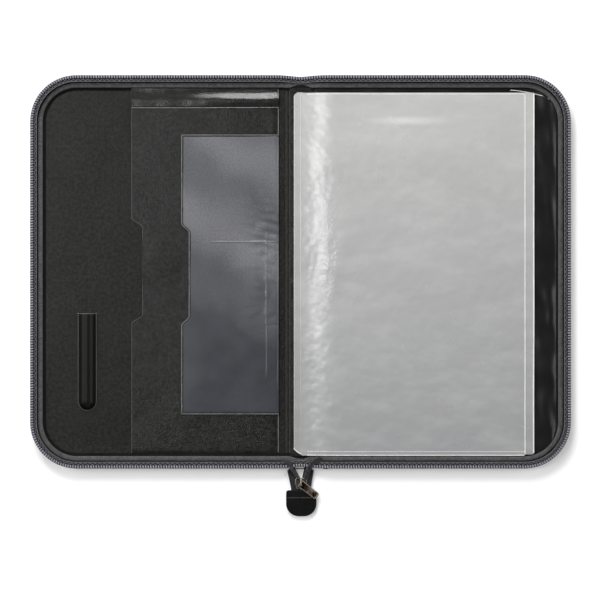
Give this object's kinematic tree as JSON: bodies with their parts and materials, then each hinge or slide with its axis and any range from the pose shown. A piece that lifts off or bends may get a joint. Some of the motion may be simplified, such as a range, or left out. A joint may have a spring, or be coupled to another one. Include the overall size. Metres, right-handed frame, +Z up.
{
  "type": "zip portfolio case",
  "caption": "Slim zip-round portfolio case, open flat: a pocketed front side with a pen sleeve, a folding spine, and a back side that holds clear page sleeves.",
  "frame": {"origin": "middle of the spine's underside, on the surface the open case lies on", "axes": "+X towards the outer edge of the back side, across the open case; +Y along the spine, away from the zip's end tab; +Z up, from the underside to the inside"},
  "size_m": [0.514, 0.42, 0.0132],
  "materials": {
    "leatherette": "fine grained black leatherette, semi-gloss",
    "board": "solid grey board, sealed inside",
    "lining": "black vinyl lining, soft sheen with shallow undulations",
    "zip_coil": "grey nylon coil teeth with dark gaps",
    "zip_tape": "woven grey zip tape with a zigzag stitch",
    "binding": "ribbed dark grey woven binding",
    "clear_film": "clear glossy film",
    "pocket_vinyl": "smooth black vinyl, soft sheen",
    "frosted_film": "frosted grey translucent film with soft wrinkles",
    "edging_vinyl": "black welded edging",
    "sleeve_vinyl": "black vinyl, dotted weld along its edge",
    "weld": "dark grey weld bead",
    "page_weld": "milky welded film",
    "page_film": "milky translucent film sleeve",
    "slider_metal": "antique bronze, worn bright on its edges",
    "pull_metal": "antique bronze with bright silver edges",
    "tab_leather": "smooth black leather with a pressed seam"
  },
  "bodies": {
    "back_side": {"back_skin": "leatherette", "back_board": "board", "back_lining": "lining", "back_zip_tape": "zip_tape", "back_zip_coil": "zip_coil", "back_binding": "binding", "back_film_pocket": "clear_film"},
    "spine": {"spine_skin": "leatherette", "spine_board": "board", "spine_lining": "lining", "spine_tape_top": "zip_tape", "spine_tape_bottom": "zip_tape", "spine_coil_top": "zip_coil", "fold_bead_front": "weld", "fold_bead_back": "weld", "page_retainer": "clear_film", "page_bound_edge": "page_weld", "page_weld_bead": "page_weld", "zip_tail_left": "zip_tape", "zip_tail_right": "zip_tape", "end_tab_front": "tab_leather", "end_tab_back": "tab_leather"},
    "front_side": {"front_skin": "leatherette", "front_board": "board", "front_lining": "lining", "front_zip_tape": "zip_tape", "front_zip_coil": "zip_coil", "front_binding": "binding", "document_pocket": "pocket_vinyl", "pocket_top_strip": "pocket_vinyl", "window_film": "frosted_film", "window_edging": "edging_vinyl", "pen_sleeve": "sleeve_vinyl"},
    "page_block": {"page_leaf_01": "page_film", "page_leaf_02": "page_film", "page_leaf_03": "page_film", "page_leaf_04": "page_film", "page_leaf_05": "page_film", "page_leaf_06": "page_film", "page_leaf_07": "page_film", "page_leaf_08": "page_film", "page_leaf_09": "page_film"},
    "top_page": {"page_leaf_10": "page_film"},
    "slider": {"slider_body": "slider_metal"},
    "puller": {"zip_pull": "pull_metal"}
  },
  "joints": [
    {"name": "spine_fold", "type": "hinge", "parent": "back_side", "child": "spine", "pos_m": [0.012, 0, 0.0016], "axis": [0, 1, 0], "range_deg": [0, 90]},
    {"name": "front_side_fold", "type": "hinge", "parent": "spine", "child": "front_side", "pos_m": [-0.012, 0, 0.0016], "axis": [0, 1, 0], "range_deg": [0, 90]},
    {"name": "page_block_swing", "type": "hinge", "parent": "spine", "child": "page_block", "pos_m": [0.0014, 0, 0.0052], "axis": [0, 1, 0], "range_deg": [-90, 0]},
    {"name": "top_page_turn", "type": "hinge", "parent": "page_block", "child": "top_page", "pos_m": [0.0014, 0, 0.00745], "axis": [0, 1, 0], "range_deg": [-178, 0]},
    {"name": "slider_slide", "type": "slide", "parent": "spine", "child": "slider", "axis": [0, 1, 0], "range_m": [0, 0.008]},
    {"name": "puller_flip", "type": "hinge", "parent": "slider", "child": "puller", "pos_m": [-0.00022, -0.20149, 0.0053], "axis": [-0.6157, -0.788, 0], "range_deg": [0, 60]}
  ],
  "couplings": [
    {"joint": "page_block_swing", "follows": "spine_fold", "ratio": -1}
  ]
}
